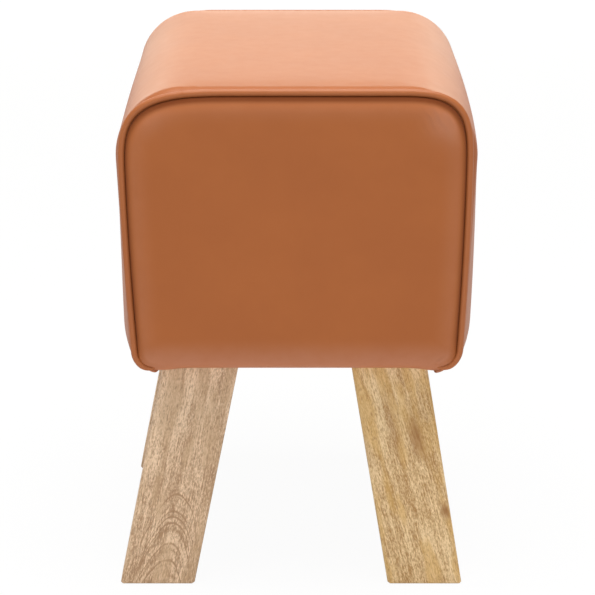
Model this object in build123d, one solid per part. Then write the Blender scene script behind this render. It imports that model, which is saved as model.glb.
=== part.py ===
from build123d import *
import math
import os

# A short leather bench: a padded block on four splayed slab legs.
# X runs across the bench, Y along its length and Z up, in millimetres.
# The origin is on the floor, under the middle of the seat. The photographed end is at -Y.

# Outline of a seam, where the piping runs
leg_height = 206.2
dust_cover_thickness = 0.7
seam_rise = 239.0               # underside of the block to the top of a seam
seam_half_length = 195.5        # middle of the bench to the plane of a seam
seam_half_top = 149.5           # half width at a seam, where side and top would meet
seam_half_bottom = 137.6        # half width at a seam, where side and underside would meet
seam_top_radius = 50.0
seam_bottom_radius = 17.0

# Swelling of the padded leather beyond that outline, close to a seam
top_plump = 6.0
side_plump = 5.6
top_radius_plump = 10.0
bottom_radius_plump = 3.0
roll_length = 12.3              # the leather rolls down into a seam over this length
roll_clearance = 1.2            # where the roll ends, short of the piping's edge

# Change of that form towards mid-length
top_swell = 0.3
top_waist = 3.1                 # the top is narrower at mid-length, by this much on each side
half_bottom_swell = 10.0
bottom_radius_swell = 7.0
crown = 1.0
belly = 4.3
swell_power = 4
station_shares = (1.0, 0.9, 0.76, 0.56, 0.3)

# Leather, seams and piping
leather_thickness = 1.6
welt_leather = 1.0
piping_diameter = 7.0
piping_stand = 0.2              # the piping's centre stands this far outside the leather
cord_sides = 8                  # the soft cord is pressed nearly flat-sided in its strip
seam_allowance = 10.0
tail_setback = 10.6             # side of the block to the end of the piping, under the lower corner
flap_width = 35.0               # turned under the edge of the base board

# End panels, domed beyond the seam
dome_depth = 8.0
dome_roll = 14.0
dome_bottom_roll = 26.0
dome_top_radius_gain = 4.0
dome_turn_shares = (0.0, 0.25, 0.5, 0.75, 1.0)
roll_turn_shares = (1.0, 0.7, 0.35)

# Timber box and the depth of padding from a seam's outline to it
top_padding = 25.9
side_padding = 15.6
end_padding = 20.5
base_board_thickness = 18.0
board_thickness = 12.0
housing_depth = 4.0             # end boards and rib stand this far into grooves in the side boards
batten_width = 62.0
batten_thickness = 18.0

# Legs: leaning slabs, the left pair splayed a little more than the right pair
leg_width = 65.4
leg_thickness = 45.0
leg_end_setback = 25.0          # end of the box to the middle of a leg
left_leg_setback = 6.5          # side of the box to the outer corner of a leg's top
right_leg_setback = 10.8
left_lean = 11.3                # degrees
right_lean = 9.4                # degrees
leg_edge_radius = 3.0
foot_edge_bevel = 1.5

# Fasteners
bolt_diameter = 8.0
bolt_spacing = 26.0
bolt_depth_in_leg = 35.0
bolt_stand_out = 3.0
nut_flange_diameter = 19.0
nut_flange_thickness = 1.5
nut_barrel_diameter = 10.0
nut_barrel_length = 12.0
screw_diameter = 4.0
screw_head_diameter = 8.0
screw_head_height = 2.4
screw_length = 40.0
staple_width = 10.0
staple_depth = 8.0
staple_wire = 1.0

# Dust cover
dust_cover_margin = 10.0        # edge of the base board to the edge of the cloth
hem_width = 8.0                 # the staples go through the middle of the hem

# Clearances
soft_gap = 0.3                  # between padding and leather
fit_gap = 0.05                  # round fasteners, and where the piping is bedded in the leather
overrun = 5.0                   # cutters run past the faces that they open

# Worked out from the sizes above
block_bottom = leg_height + dust_cover_thickness
seam_top = block_bottom + seam_rise
piping_radius = piping_diameter / 2
cord_radius = piping_radius - welt_leather
bedded_radius = piping_radius + fit_gap
roll_reach = bedded_radius - piping_stand - welt_leather
seam_roll = roll_reach + math.sqrt(roll_reach**2 + bedded_radius**2 - piping_stand**2 - welt_leather**2)
panel_inset = bedded_radius - piping_stand
allowance_inset = seam_roll + seam_allowance
roll_start = seam_half_length - welt_leather - roll_clearance - roll_length
tail_half_width = seam_half_bottom - tail_setback
frame_half_width = min(seam_half_top, seam_half_bottom) - side_padding
frame_half_length = seam_half_length - end_padding
frame_top = seam_top - top_padding
board_bottom = block_bottom + leather_thickness
base_board_top = board_bottom + base_board_thickness
walls_top = frame_top - board_thickness
batten_top = base_board_top + batten_thickness
frame_inner_half_width = frame_half_width - board_thickness
frame_inner_half_length = frame_half_length - board_thickness
flap_inner_x = frame_half_width - flap_width
flap_inner_y = frame_half_length - flap_width
leg_y = frame_half_length - leg_end_setback
dust_cover_half_width = frame_half_width - dust_cover_margin
dust_cover_half_length = frame_half_length - dust_cover_margin


def block_between(low, high):
    """A rectangular block from its lowest corner to its highest."""
    size = [high[axis] - low[axis] for axis in range(3)]
    middle = [(high[axis] + low[axis]) / 2 for axis in range(3)]
    return Pos(*middle) * Box(*size)


def both_ends(piece):
    """A piece at the +Y end and its mirror image at the -Y end."""
    return piece, mirror(piece, about=Plane.XZ)


# Cross-sections of the padded block


def rounded_outline(y, half_bottom, half_top, bottom, top, bulge, rise, bottom_radius, top_radius):
    """An upright face across the block at y: straight below, bowed at the sides and on top."""
    low = [(-half_bottom, bottom), (half_bottom, bottom)]
    high = [(half_top, top), (-half_top, top)]
    middle = ((half_bottom + half_top) / 2 + bulge, (bottom + top) / 2)
    sides = [Line(low[0], low[1])]
    if bulge > 0:
        sides.append(ThreePointArc(low[1], middle, high[0]))
        sides.append(ThreePointArc(high[0], (0, top + rise), high[1]))
        sides.append(ThreePointArc(high[1], (-middle[0], middle[1]), low[0]))
    else:
        sides.append(Polyline(low[1], high[0], high[1], low[0]))
    face = make_face(sides)
    face = fillet(face.vertices().sort_by(Axis.Y)[:2], bottom_radius)
    face = fillet(face.vertices().sort_by(Axis.Y)[-2:], top_radius)
    return Plane(origin=(0, y, 0), x_dir=(1, 0, 0), z_dir=(0, -1, 0)) * face


def seam_sizes(inset):
    """The sizes of the outline of a seam, drawn in by inset, in the order of rounded_outline."""
    half_widths = (seam_half_bottom - inset, seam_half_top - inset)
    radii = (seam_bottom_radius - inset, seam_top_radius - inset)
    return (*half_widths, block_bottom + inset, seam_top - inset, 0, 0, *radii)


def padded_sizes(inset, share):
    """The sizes of the swollen outline; share is 1 close to a seam and 0 at mid-length."""
    risen = 1 - share**swell_power
    return (
        seam_half_bottom + side_plump + half_bottom_swell * risen - inset,
        seam_half_top + side_plump - top_waist * risen - inset,
        block_bottom + inset,
        seam_top + top_plump + top_swell * risen - inset,
        belly * (1 - share**2),
        crown * (1 - share**2),
        seam_bottom_radius + bottom_radius_plump + bottom_radius_swell * risen - inset,
        seam_top_radius + top_radius_plump - inset,
    )


def seam_slab(inset, y_low, y_high):
    """The outline of a seam, drawn in by inset, carried straight along Y."""
    return extrude(rounded_outline(y_high, *seam_sizes(inset)), y_high - y_low)


def padded_form(inset):
    """The block between its seams, drawn in by inset, with both ends rolled into the seams."""
    edge = seam_half_length - welt_leather
    swollen, closed = padded_sizes(inset, 1.0), seam_sizes(seam_roll)
    stations = [(edge - inset, seam_sizes(seam_roll + roll_clearance))]
    for roll_share in roll_turn_shares:
        turn = roll_share * math.pi / 2
        closing = 1 - math.cos(turn)
        y = roll_start + (roll_length - inset) * math.sin(turn)
        stations.append((y, [start + (end - start) * closing for start, end in zip(swollen, closed)]))
    stations += [(share * roll_start, padded_sizes(inset, share)) for share in station_shares]
    mirrored = [(-y, sizes) for y, sizes in stations]
    stations = mirrored + [(0, padded_sizes(inset, 0))] + list(reversed(stations))
    return loft([rounded_outline(y, *sizes) for y, sizes in stations], ruled=True)


def dome_form(inset):
    """The domed end beyond the +Y seam, drawn in by inset, an elliptical roll round a flat middle."""
    sections = []
    for turn_share in dome_turn_shares:
        turn = turn_share * math.pi / 2
        side = panel_inset + dome_roll - (dome_roll - inset) * math.cos(turn)
        under = dome_bottom_roll - (dome_bottom_roll - inset) * math.cos(turn)
        depth = welt_leather + (dome_depth - welt_leather - inset) * math.sin(turn)
        sections.append(
            rounded_outline(
                seam_half_length + depth,
                seam_half_bottom - side,
                seam_half_top - side,
                block_bottom + under,
                seam_top - side,
                0,
                0,
                seam_bottom_radius - panel_inset - inset * (1 - turn_share),
                seam_top_radius - side + dome_top_radius_gain * turn_share,
            )
        )
    return loft(sections, ruled=True)


def below_seam_tails(height):
    """The space between the two tails of a +Y seam, from below the block up to height."""
    low = (-tail_half_width, flap_inner_y, block_bottom - piping_diameter)
    high = (tail_half_width, seam_half_length + dome_depth, height)
    return block_between(low, high)


# Leather


def along_seam(section):
    """A flat section carried along the +Y seam: up one side, over the top and down the other."""
    face = rounded_outline(seam_half_length, *seam_sizes(-piping_stand))
    lowest = face.edges().sort_by(Axis.Z)[0]
    route = Wire([edge for edge in face.edges() if edge.center().Z > lowest.center().Z])
    return sweep(Plane(origin=route @ 0, z_dir=route % 0) * section, path=route)


def make_piping():
    """The +Y piping: a leather strip folded round its cord, with both edges turned into the seam."""
    tails = below_seam_tails(block_bottom + allowance_inset)
    flange_start = panel_inset - welt_leather / 2
    y_low = seam_half_length - welt_leather
    y_high = seam_half_length + welt_leather
    flange = seam_slab(flange_start, y_low, y_high)
    flange -= seam_slab(allowance_inset, y_low - overrun, y_high + overrun)
    strip = along_seam(Circle(piping_radius)) + flange
    strip -= along_seam(RegularPolygon(cord_radius, cord_sides))
    strip -= tails
    cord = along_seam(RegularPolygon(cord_radius - fit_gap, cord_sides)) - tails
    return strip, cord


def make_seat_cover(cutters):
    """The leather over the top and both sides, turned in at the seams and under the board."""
    cover = padded_form(0) - padded_form(leather_thickness)
    throat_end = seam_half_length + overrun
    cover -= seam_slab(allowance_inset, -throat_end, throat_end)
    opening_low = (-flap_inner_x, -flap_inner_y - soft_gap, block_bottom - overrun)
    opening_high = (flap_inner_x, flap_inner_y + soft_gap, board_bottom + overrun)
    cover -= block_between(opening_low, opening_high)
    for piece in both_ends(below_seam_tails(block_bottom + allowance_inset)):
        cover -= piece
    return cover - cutters


def make_end_panel():
    """The +Y end panel: a domed leather shell with its seam allowance and its flap underneath."""
    flange_face = seam_half_length + welt_leather + leather_thickness
    panel = dome_form(0)
    panel -= dome_form(leather_thickness) - seam_slab(0, seam_half_length, flange_face)
    panel -= seam_slab(allowance_inset, seam_half_length, flange_face)
    tail_clear = tail_half_width - soft_gap
    slot_low = (-tail_clear, seam_half_length, board_bottom)
    slot_high = (tail_clear, flange_face, block_bottom + allowance_inset)
    panel -= block_between(slot_low, slot_high)
    flap_low = (-tail_clear, flap_inner_y, block_bottom)
    flap_high = (tail_clear, flange_face, board_bottom)
    panel += block_between(flap_low, flap_high)
    return panel - along_seam(Circle(bedded_radius))


# Padding


def make_padding():
    """Top, side and end pads that fill the space between the timber box and the leather."""
    inset = leather_thickness + soft_gap
    form = padded_form(inset)
    reach = seam_half_length
    tall = seam_top + top_plump + top_swell + crown + overrun
    wide = seam_half_top + side_plump + half_bottom_swell + belly + overrun
    top = form & block_between((-wide, -reach, frame_top), (wide, reach, tall))
    right = form & block_between((frame_half_width, -reach, block_bottom), (wide, reach, frame_top))
    left = form & block_between((-wide, -reach, block_bottom), (-frame_half_width, reach, frame_top))

    throat_y = seam_half_length - welt_leather - inset
    flange_y = seam_half_length + welt_leather + inset
    foot_y = flange_y - 2 * soft_gap
    pad_bottom = board_bottom + soft_gap
    foot_half_width = seam_half_bottom - seam_bottom_radius - inset
    foot_top = block_bottom + allowance_inset + inset
    foot_low = (-foot_half_width, throat_y, pad_bottom)
    between_tails = block_between(foot_low, (foot_half_width, flange_y, foot_top))
    end = dome_form(inset) - (seam_slab(0, seam_half_length, flange_y) - between_tails)
    end += seam_slab(allowance_inset + soft_gap, throat_y, flange_y)
    end += block_between(foot_low, (foot_half_width, foot_y, foot_top))
    pad_low = (-frame_half_width, frame_half_length, pad_bottom)
    end += block_between(pad_low, (frame_half_width, throat_y, frame_top))
    return top, left, right, end


# Fasteners


def screw_form(clearance=0):
    """A countersunk screw hanging down from its head, whose top is at zero."""
    shank = screw_diameter / 2 + clearance
    head = screw_head_diameter / 2 + clearance
    neck = -screw_head_height - clearance
    tip = -screw_length - clearance
    profile = Polyline((0, 0), (head, 0), (shank, neck), (shank, tip), (0, tip), close=True)
    return revolve(Plane.XZ * make_face(profile), Axis.Z)


def screw_places():
    """Where the countersunk screws go, through the top and base boards into the side boards."""
    wall_x = frame_half_width - board_thickness / 2
    places = []
    for side in (-1, 1):
        for y_share in (-0.6, 0.6):
            places.append(Pos(side * wall_x, y_share * frame_half_length, frame_top))
        for y_share in (-0.3, 0.3):
            low = Pos(side * wall_x, y_share * frame_half_length, board_bottom)
            places.append(low * Rot(X=180))
    return places


def leg_centre_x(side):
    """Middle of a leg's top end; side is -1 at the left and 1 at the right."""
    setback = left_leg_setback if side < 0 else right_leg_setback
    return side * (frame_half_width - setback - leg_width / 2)


def bolt_places(side, end):
    """Places of the two bolts of one leg, at the height of the leg's top end."""
    middle = leg_centre_x(side)
    return [Pos(middle + half * bolt_spacing / 2, end * leg_y, leg_height) for half in (-1, 1)]


def bolt_form(clearance=0):
    """A double-ended bolt: its wood thread goes down into the leg, the other end up to its nut."""
    low = -bolt_depth_in_leg - clearance
    top = batten_top + nut_flange_thickness + bolt_stand_out - leg_height
    return Pos(0, 0, (low + top) / 2) * Cylinder(bolt_diameter / 2 + clearance, top - low)


def nut_form():
    """A tee nut: a round flange on the batten and a barrel driven down into it, round the bolt."""
    seat = batten_top - leg_height
    flange = Cylinder(nut_flange_diameter / 2, nut_flange_thickness)
    barrel = Cylinder(nut_barrel_diameter / 2, nut_barrel_length)
    nut = Pos(0, 0, seat + nut_flange_thickness / 2) * flange
    nut += Pos(0, 0, seat - nut_barrel_length / 2) * barrel
    return nut - bolt_form(fit_gap)


def nut_hole():
    """The hole drilled for a tee nut, right through the batten and the base board."""
    low = board_bottom - leg_height
    top = batten_top - leg_height
    return Pos(0, 0, (low + top) / 2) * Cylinder(nut_barrel_diameter / 2 + fit_gap, top - low)


def staple_form(clearance=0):
    """A wire staple driven upwards: its crown runs along X under zero and its two legs go up."""
    half = staple_width / 2 + clearance
    wire = staple_wire + 2 * clearance
    top = staple_depth + clearance
    outside = Rectangle(2 * half, top + staple_wire + clearance, align=(Align.CENTER, Align.MIN))
    inside = Rectangle(2 * (half - wire), top, align=(Align.CENTER, Align.MIN))
    bridge = -staple_wire - clearance
    profile = Plane.XZ * (Pos(0, bridge) * outside - Pos(0, clearance) * inside)
    return extrude(profile, wire / 2, both=True)


def staple_places():
    """Where the staples go, round the hem of the dust cover."""
    hem_x = dust_cover_half_width - hem_width / 2
    hem_y = dust_cover_half_length - hem_width / 2
    places = []
    for side in (-1, 1):
        for share in (-0.6, -0.2, 0.2, 0.6):
            along = Pos(side * hem_x, share * dust_cover_half_length, leg_height)
            places.append(along * Rot(Z=90))
        for share in (-0.2, 0.2):
            places.append(Pos(share * dust_cover_half_width, side * hem_y, leg_height))
    return places


# Timber


def make_frame(cutters):
    """Boards, rib and battens of the timber box, by name."""
    base_low = (-frame_half_width, -frame_half_length, board_bottom)
    base_high = (frame_half_width, frame_half_length, base_board_top)
    lid_low = (-frame_half_width, -frame_half_length, walls_top)
    lid_high = (frame_half_width, frame_half_length, frame_top)
    housed_half_width = frame_inner_half_width + housing_depth
    rear_low = (-housed_half_width, frame_inner_half_length, base_board_top)
    rear_high = (housed_half_width, frame_half_length, walls_top)
    rear, front = both_ends(block_between(rear_low, rear_high))
    rib_low = (-housed_half_width, -board_thickness / 2, base_board_top)
    rib_high = (housed_half_width, board_thickness / 2, walls_top)
    rib = block_between(rib_low, rib_high)
    left_low = (-frame_half_width, -frame_half_length, base_board_top)
    left_high = (-frame_inner_half_width, frame_half_length, walls_top)
    left = block_between(left_low, left_high) - [rear, front, rib]
    batten_low = (-frame_inner_half_width, frame_inner_half_length - batten_width, base_board_top)
    batten_high = (frame_inner_half_width, frame_inner_half_length, batten_top)
    rear_batten, front_batten = both_ends(block_between(batten_low, batten_high))
    boards = {
        "base_board": block_between(base_low, base_high),
        "top_board": block_between(lid_low, lid_high),
        "left_side_board": left,
        "right_side_board": mirror(left, about=Plane.YZ),
        "front_end_board": front,
        "rear_end_board": rear,
        "centre_rib": rib,
        "front_leg_batten": front_batten,
        "rear_leg_batten": rear_batten,
    }
    return {name: board - cutters for name, board in boards.items()}


def make_leg(side, end):
    """One leg: a slab that leans outward towards its foot, with eased edges and two bolt holes."""
    lean = left_lean if side < 0 else right_lean
    half = leg_width / 2
    top_centre = leg_centre_x(side)
    foot_centre = top_centre + side * leg_height * math.tan(math.radians(lean))
    corners = [
        (foot_centre - half, 0),
        (foot_centre + half, 0),
        (top_centre + half, leg_height),
        (top_centre - half, leg_height),
    ]
    plane = Plane(origin=(0, end * leg_y, 0), x_dir=(1, 0, 0), z_dir=(0, -1, 0))
    leg = extrude(plane * make_face(Polyline(*corners, close=True)), leg_thickness / 2, both=True)
    long_edges = leg.edges().filter_by(lambda edge: 0 < edge.center().Z < leg_height)
    leg = fillet(long_edges, leg_edge_radius)
    leg = chamfer(leg.faces().sort_by(Axis.Z)[0].edges(), foot_edge_bevel)
    for place in bolt_places(side, end):
        leg -= place * bolt_form(fit_gap)
    return leg


def make_dust_cover(cutters):
    """The thin black cloth stapled under the seat."""
    low = (-dust_cover_half_width, -dust_cover_half_length, leg_height)
    high = (dust_cover_half_width, dust_cover_half_length, block_bottom)
    return block_between(low, high) - cutters


def main():
    """Make every piece and write one file for each."""
    corners = [(side, end) for side in (-1, 1) for end in (-1, 1)]
    bolts = [place for side, end in corners for place in bolt_places(side, end)]
    screws = screw_places()
    bolt_holes = [place * bolt_form(fit_gap) for place in bolts]
    screw_holes = [place * screw_form(fit_gap) for place in screws]
    nut_holes = [place * nut_hole() for place in bolts]
    staple_holes = [place * staple_form(fit_gap) for place in staple_places()]
    flap_holes = bolt_holes + staple_holes

    pieces = make_frame(nut_holes + screw_holes + staple_holes)
    for side, end in corners:
        name = ("front" if end < 0 else "rear") + ("_left" if side < 0 else "_right") + "_leg"
        pieces[name] = make_leg(side, end)
    pieces["leg_bolts"] = Compound([place * bolt_form() for place in bolts])
    pieces["tee_nuts"] = Compound([place * nut_form() for place in bolts])
    pieces["frame_screws"] = Compound([place * screw_form() for place in screws])
    pieces["staples"] = Compound([place * staple_form() for place in staple_places()])

    top, left, right, end_pad = make_padding()
    rear_pad, front_pad = both_ends(end_pad)
    pieces["seat_foam"] = top
    pieces["left_side_foam"] = left
    pieces["right_side_foam"] = right
    pieces["front_foam"] = front_pad
    pieces["rear_foam"] = rear_pad

    pieces["seat_cover"] = make_seat_cover(flap_holes)
    rear_panel, front_panel = both_ends(make_end_panel())
    pieces["front_panel"] = front_panel - flap_holes
    pieces["rear_panel"] = rear_panel - flap_holes
    strip, cord = make_piping()
    pieces["rear_piping"], pieces["front_piping"] = both_ends(strip)
    pieces["rear_piping_cord"], pieces["front_piping_cord"] = both_ends(cord)
    pieces["dust_cover"] = make_dust_cover(flap_holes)

    os.makedirs("parts", exist_ok=True)
    for name, piece in pieces.items():
        export_step(piece, f"parts/{name}.step")


main()
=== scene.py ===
import math

import bpy
import numpy as np
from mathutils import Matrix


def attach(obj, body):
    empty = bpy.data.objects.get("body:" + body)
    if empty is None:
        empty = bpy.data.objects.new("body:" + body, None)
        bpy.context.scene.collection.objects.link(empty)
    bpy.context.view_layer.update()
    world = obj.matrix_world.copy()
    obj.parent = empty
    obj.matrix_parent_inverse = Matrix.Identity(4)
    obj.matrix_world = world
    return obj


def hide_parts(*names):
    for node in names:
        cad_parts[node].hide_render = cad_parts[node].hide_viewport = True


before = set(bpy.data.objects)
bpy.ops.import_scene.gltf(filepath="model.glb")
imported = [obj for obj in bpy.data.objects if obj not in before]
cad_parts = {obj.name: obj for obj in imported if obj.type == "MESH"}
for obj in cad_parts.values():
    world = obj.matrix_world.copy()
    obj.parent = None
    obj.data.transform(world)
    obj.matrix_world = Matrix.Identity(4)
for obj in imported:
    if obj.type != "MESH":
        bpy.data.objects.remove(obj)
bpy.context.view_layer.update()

# A short leather bench on four mango wood legs, in metres. X runs across it, Y along it, Z up.
# The photographed end is at -Y. Side is -1 on the left and 1 on the right, and end is -1 in
# front and 1 at the rear. A section across the bench is written as complex numbers, x + iz.
MM = 0.001

# Outline of a seam
block_bottom = 206.9 * MM
seam_top = 446.2 * MM
seam_half_length = 195.5 * MM
seam_half_top = {-1: 147.3 * MM, 1: 143.4 * MM}
seam_half_bottom = {-1: 136.9 * MM, 1: 136.3 * MM}
seam_bulge = 2.2 * MM
seam_bottom_radius = {-1: 16 * MM, 1: 18.5 * MM}
seam_side_run = {-1: 73 * MM, 1: 68 * MM}      # how far down the side an upper corner reaches
seam_top_run = {-1: 106 * MM, 1: 66 * MM}      # how far along the top it reaches
seam_squareness = {-1: 3.75, 1: 2.8}           # of its upper corners, front and rear
tail_height = 10 * MM            # how far above the block's bottom the outline can be a tail
tail_half_width = 114 * MM       # where the piping ends under the seat
tail_rise_start = 136 * MM       # from here on its tail rises towards the underside
tail_rise = 5.4 * MM
tail_taper = 12 * MM
tail_share = 0.2                 # how much of its thickness the piping keeps at a tail's end
tail_sag = 1.8 * MM              # how far the end panel sags over a tail
tail_sag_reach = 12 * MM
least_radius = 1 * MM            # of a lower corner that is drawn in
ellipse = 2                      # the squareness of a plain ellipse

# Swelling of the padded leather close to a seam, and its change towards mid-length
front_top_plump = 4 * MM
rear_top_plump = 5.8 * MM
front_side_plump = {-1: 6.2 * MM, 1: 4.8 * MM}
rear_side_plump = {-1: 5.9 * MM, 1: 6.3 * MM}
front_top_run = 62 * MM
rear_top_run = 58 * MM
padded_half_bottom = 137.6 * MM
padded_half_top = 149.5 * MM
padded_top = 445.9 * MM
padded_bottom_radius = 20 * MM
top_swell = 0.3 * MM
top_waist = {-1: 3.5 * MM, 1: 2.3 * MM}
half_bottom_swell = 10.2 * MM
bottom_radius_swell = 7 * MM
crown = 0.4 * MM
belly = {-1: 2.8 * MM, 1: 4.6 * MM}
swell_power = 4

# Leather and seams
leather_thickness = 1.6 * MM
strip_thickness = 0.9 * MM
piping_radius = 3.1 * MM
piping_stand = 0.8 * MM
cord_radius = 2.1 * MM
seam_roll = 6.48 * MM
roll_clearance = 1.2 * MM
roll_start = 181 * MM
roll_length = 12.3 * MM
seam_allowance = 10 * MM
flange_face = 1 * MM
panel_inset = 2.1 * MM
dome_depth = 8 * MM
dome_roll = 14 * MM
dome_power = 1.9
under_roll = 24 * MM             # height of the roll under an end panel
under_setback = 12.5 * MM        # how far back it carries the lower edge
under_outline_end = 60 * MM      # how near the middle line a panel's seam is measured
panel_flap_end = 140 * MM        # how far along Y a panel's flap reaches under the seat
panel_flap_half_width = 116 * MM
panel_flap_power = 4
cover_flap_x = 87 * MM           # how near the middle line the seat leather's flaps come
cover_flap_end_x = 118 * MM      # the same past the notch near a seam
notch_start = 134 * MM
notch_length = 6 * MM
strip_allowance = np.array([13 * MM, 8 * MM])
strip_turn = math.radians(163)   # how far round its cord the strip goes from its outermost line
painted_shade_start = math.radians(100)  # from here it is painted darker towards the seam, painted shade
painted_shade_turn = math.radians(55)
soft_gap = 0.3 * MM
swell_cap = 0.8 * MM             # how far the simulated leather may swell

# Cloth simulation. A pair is a range over which the leather goes from free to held, or from
# held to free: along Y, in height above the block's bottom, and in distance from the seam.
seat_pressure = 0.5
end_pressure = 0.8
settling_mass = 0.3
stretch_stiffness = 40
shear_stiffness = 20
bending_stiffness = 5
settling_frames = 20
held_y = (168 * MM, 190 * MM)
held_low = (8 * MM, 34 * MM)
held_rim = (5 * MM, 22 * MM)

# Timber box, where the padding meets it
frame_half_width = 122 * MM
frame_half_length = 175 * MM
frame_top = 420 * MM
pad_bottom = 208.8 * MM
slab_y = [frame_half_length, 183 * MM, 186 * MM, 189 * MM, 192.3 * MM]
slab_edge = 2 * MM
neck_y = [192.6 * MM, 198.6 * MM]
face_y = 199 * MM                # where an end pad's face starts to dome

# Painted shade and painted light of an end panel, and painted shade of the piping. A pair is a
# range in distance from the seam, or in height above the block's bottom.
top_painted_valley = (1.8 * MM, 6.4 * MM)  # painted shade of the valley beside the seam, along the top
side_painted_valley = 5.2 * MM             # its breadth down the sides
side_painted_valley_power = 1.5
painted_valley_widens = (405 * MM - block_bottom, 438 * MM - block_bottom)
painted_valley_starts = (4 * MM, 32 * MM)
low_painted_rim = (6 * MM, 31 * MM)        # the rim along the bottom, painted paler as painted light from below
seam_painted_rim = (2 * MM, 24 * MM)       # the rolled rim along the seam, painted paler as a painted highlight
seam_painted_rim_strength = 0.42
rim_clears_seam = (2 * MM, 8 * MM)
rim_at_bottom = 16 * MM            # below this height the painted light of the rim runs on into the seam
strongest_painted_light = 1.3
painted_corner_reflections = (              # x, z, reach and strength of each painted reflection over an upper corner
    (-124 * MM, 426 * MM, 13 * MM, 0.35),
    (124 * MM, 423 * MM, 15 * MM, 1.0),
)
piping_stretch = 0.25
piping_painted_entry_shade = 0.5           # how dark the piping is painted where it enters the seam, painted shade

# Points of the meshes. Those of a half section lie along the underside, the lower corner, the
# side, the upper corner and half the top.
middle_stations = 131
cover_turns = 12
pad_turns = 7
face_turns = 8
cover_counts = (8, 14, 44, 26, 26)
seam_counts = (12, 40, 120, 120, 60)
panel_counts = (1, 60, 160, 160, 100)
pad_counts = (6, 10, 40, 24, 24)
end_pad_counts = (12, 10, 40, 24, 24)
allowance_shares = np.array([0, 0.4, 0.88])
roll_points = 16
panel_rows = 92
panel_columns = 110
panel_flap_rows = 13
strip_columns = 26
cord_columns = 14
over_points = 90
beside_points = 60
inner_points = 40
pad_underside_x = 40 * MM
sharp_angle = math.radians(50)
far = 1.0                        # further than a panel's points are from its seam
path_parts = 12                  # parts in which a seam is measured, to spare memory

# Legs
left_lean = math.radians(11.3)
right_lean = math.radians(9.4)


# Meshes


def outward(points, faces):
    """The faces turned round if more of their area faces the middle of the points than away from it."""
    corners = points[np.array([face[:3] for face in faces])] - points.mean(axis=0)
    facing = np.einsum("ij,ij->i", corners[:, 0], np.cross(corners[:, 1], corners[:, 2])).sum()
    return faces if facing > 0 else [face[::-1] for face in faces]


def as_object(name, points, faces, material, slot, *replaced):
    """A smooth mesh object from points and faces, which rides on the bench and stands for CAD nodes."""
    points = points.reshape(-1, 3)
    mesh = bpy.data.meshes.new(name)
    mesh.from_pydata(points.tolist(), [], outward(points, faces))
    mesh.set_sharp_from_angle(angle=sharp_angle)
    mesh.polygons.foreach_set("use_smooth", [True] * len(mesh.polygons))
    mesh.materials.append(material)
    piece = bpy.data.objects.new(name, mesh)
    bpy.context.scene.collection.objects.link(piece)
    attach(piece, "root")
    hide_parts(*replaced)
    return piece


def grid_faces(rows, columns, around=False):
    """Faces between neighbouring points of a grid; around joins the last column to the first."""
    index = np.arange(rows * columns).reshape(rows, columns)
    if around:
        index = np.hstack([index, index[:, :1]])
    corners = (index[:-1, :-1], index[1:, :-1], index[1:, 1:], index[:-1, 1:])
    return np.stack(corners, axis=-1).reshape(-1, 4).tolist()


def closed_faces(rows, columns):
    """Faces of a form that is lofted through closed loops, one a row, with a face at both ends."""
    index = list(range(rows * columns))
    return grid_faces(rows, columns, True) + [index[:columns][::-1], index[-columns:]]


def mark(piece, name, values):
    """Gives each point of a piece a number that its material can read."""
    layer = piece.data.attributes.new(name, "FLOAT", "POINT")
    layer.data.foreach_set("value", np.ravel(values).astype(np.float32))


def thicken(piece, thickness):
    """Leather of a real thickness, grown inwards from the piece's outer surface."""
    solidify = piece.modifiers.new("leather thickness", "SOLIDIFY")
    solidify.thickness = thickness
    solidify.offset = -1
    solidify.use_even_offset = False


# Sections of the padded block


def seam_sizes(inset, side, end):
    """Half widths, levels, bows and corners of a seam's outline, drawn in by inset.

    The rear seam has the front one's right side on both sides.
    """
    side = side if end < 0 else 1
    sizes = [
        seam_half_bottom[side] - inset,
        seam_half_top[side] - inset,
        block_bottom + inset,
        seam_top - inset,
        seam_bulge,
        0,
        np.maximum(seam_bottom_radius[side] - inset, least_radius),
        seam_side_run[side] - inset,
        seam_top_run[side] - inset,
        seam_squareness[end],
    ]
    return np.array(np.broadcast_arrays(*sizes), float)


def padded_sizes(y, inset, side):
    """The same sizes of the swollen leather at y."""
    share = np.clip(np.abs(y) / roll_start, 0, 1)
    risen = 1 - share**swell_power
    rear = np.clip(0.5 + 0.5 * y / roll_start, 0, 1)
    plump = front_side_plump[side] * (1 - rear) + rear_side_plump[side] * rear
    top_plump = front_top_plump * (1 - rear) + rear_top_plump * rear
    run = front_top_run * (1 - rear) + rear_top_run * rear - inset
    sizes = [
        padded_half_bottom + plump + half_bottom_swell * risen - inset,
        padded_half_top + plump - top_waist[side] * risen - inset,
        block_bottom + inset,
        padded_top + top_plump + top_swell * risen - inset,
        belly[side] * (1 - share**2),
        crown * (1 - share**2),
        padded_bottom_radius + bottom_radius_swell * risen - inset,
        run,
        run,
        ellipse,
    ]
    return np.array(np.broadcast_arrays(*sizes), float)


def rolled_stations(inset, turns):
    """Places along Y with a function that gives the sizes of each side there, from seam to seam.

    From its middle the leather keeps its swollen sizes. Past roll_start it turns a quarter of an
    ellipse, and its sizes go over to those of the seam.
    """
    turn = np.linspace(0, math.pi / 2, turns)
    closing = 1 - np.cos(turn)
    end_y = roll_start + (roll_length - inset) * np.sin(turn)
    middle = np.linspace(-roll_start, roll_start, middle_stations)[1:-1]

    def sizes(side):
        parts = []
        for end in (-1, 1):
            swollen = padded_sizes(np.full(turns, end * roll_start), inset, side)
            closed = seam_sizes(np.full(turns, seam_roll), side, end)
            parts.append(swollen * (1 - closing) + closed * closing)
        return np.hstack([parts[0][:, ::-1], padded_sizes(middle, inset, side), parts[1]])

    return np.concatenate([-end_y[::-1], middle, end_y]), sizes


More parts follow.
